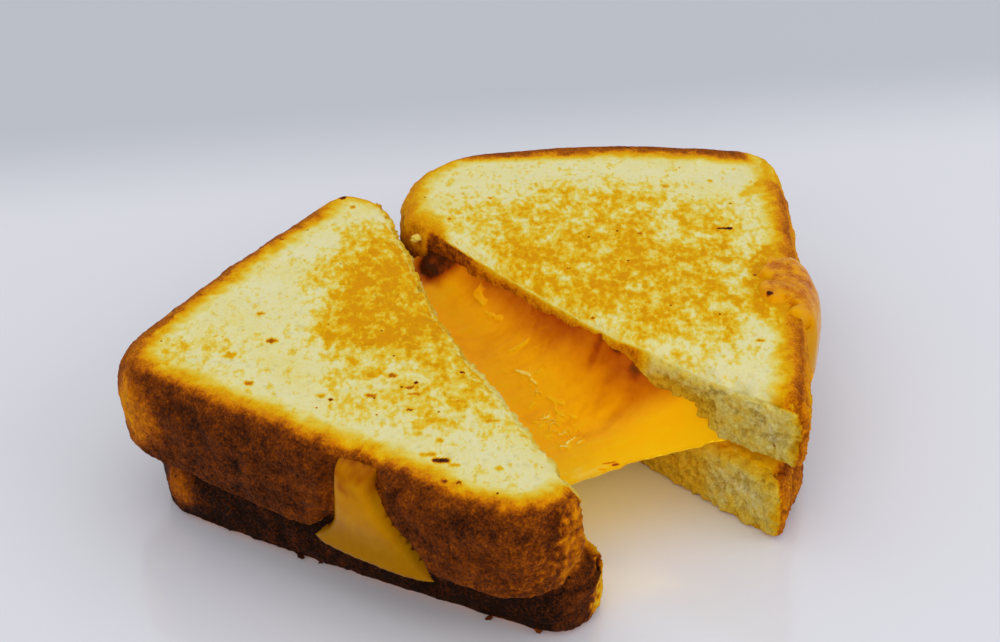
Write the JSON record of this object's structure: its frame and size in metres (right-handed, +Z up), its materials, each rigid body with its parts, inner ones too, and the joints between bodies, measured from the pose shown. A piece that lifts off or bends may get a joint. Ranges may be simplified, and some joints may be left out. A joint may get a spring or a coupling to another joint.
{
  "type": "grilled cheese sandwich",
  "caption": "Toasted cheese sandwich cut corner to corner, its thick halves pulled apart in a wedge with melted cheese stretched between them.",
  "frame": {"origin": "centre of the underside of the whole, on the plane it lies on", "axes": "+Z up through the stack, +X from the half with the cheese drip to the other half, -Y towards the open end of the wedge between them"},
  "size_m": [0.1794, 0.1362, 0.0388],
  "materials": {
    "toasted_bread": "dry, porous, browned",
    "melted_cheese": "smooth, semi-gloss"
  },
  "bodies": {
    "root": {"near_top_slice": "toasted_bread", "near_bottom_slice": "toasted_bread", "far_top_slice": "toasted_bread", "far_bottom_slice": "toasted_bread", "cheese": "melted_cheese"}
  },
  "joints": []
}
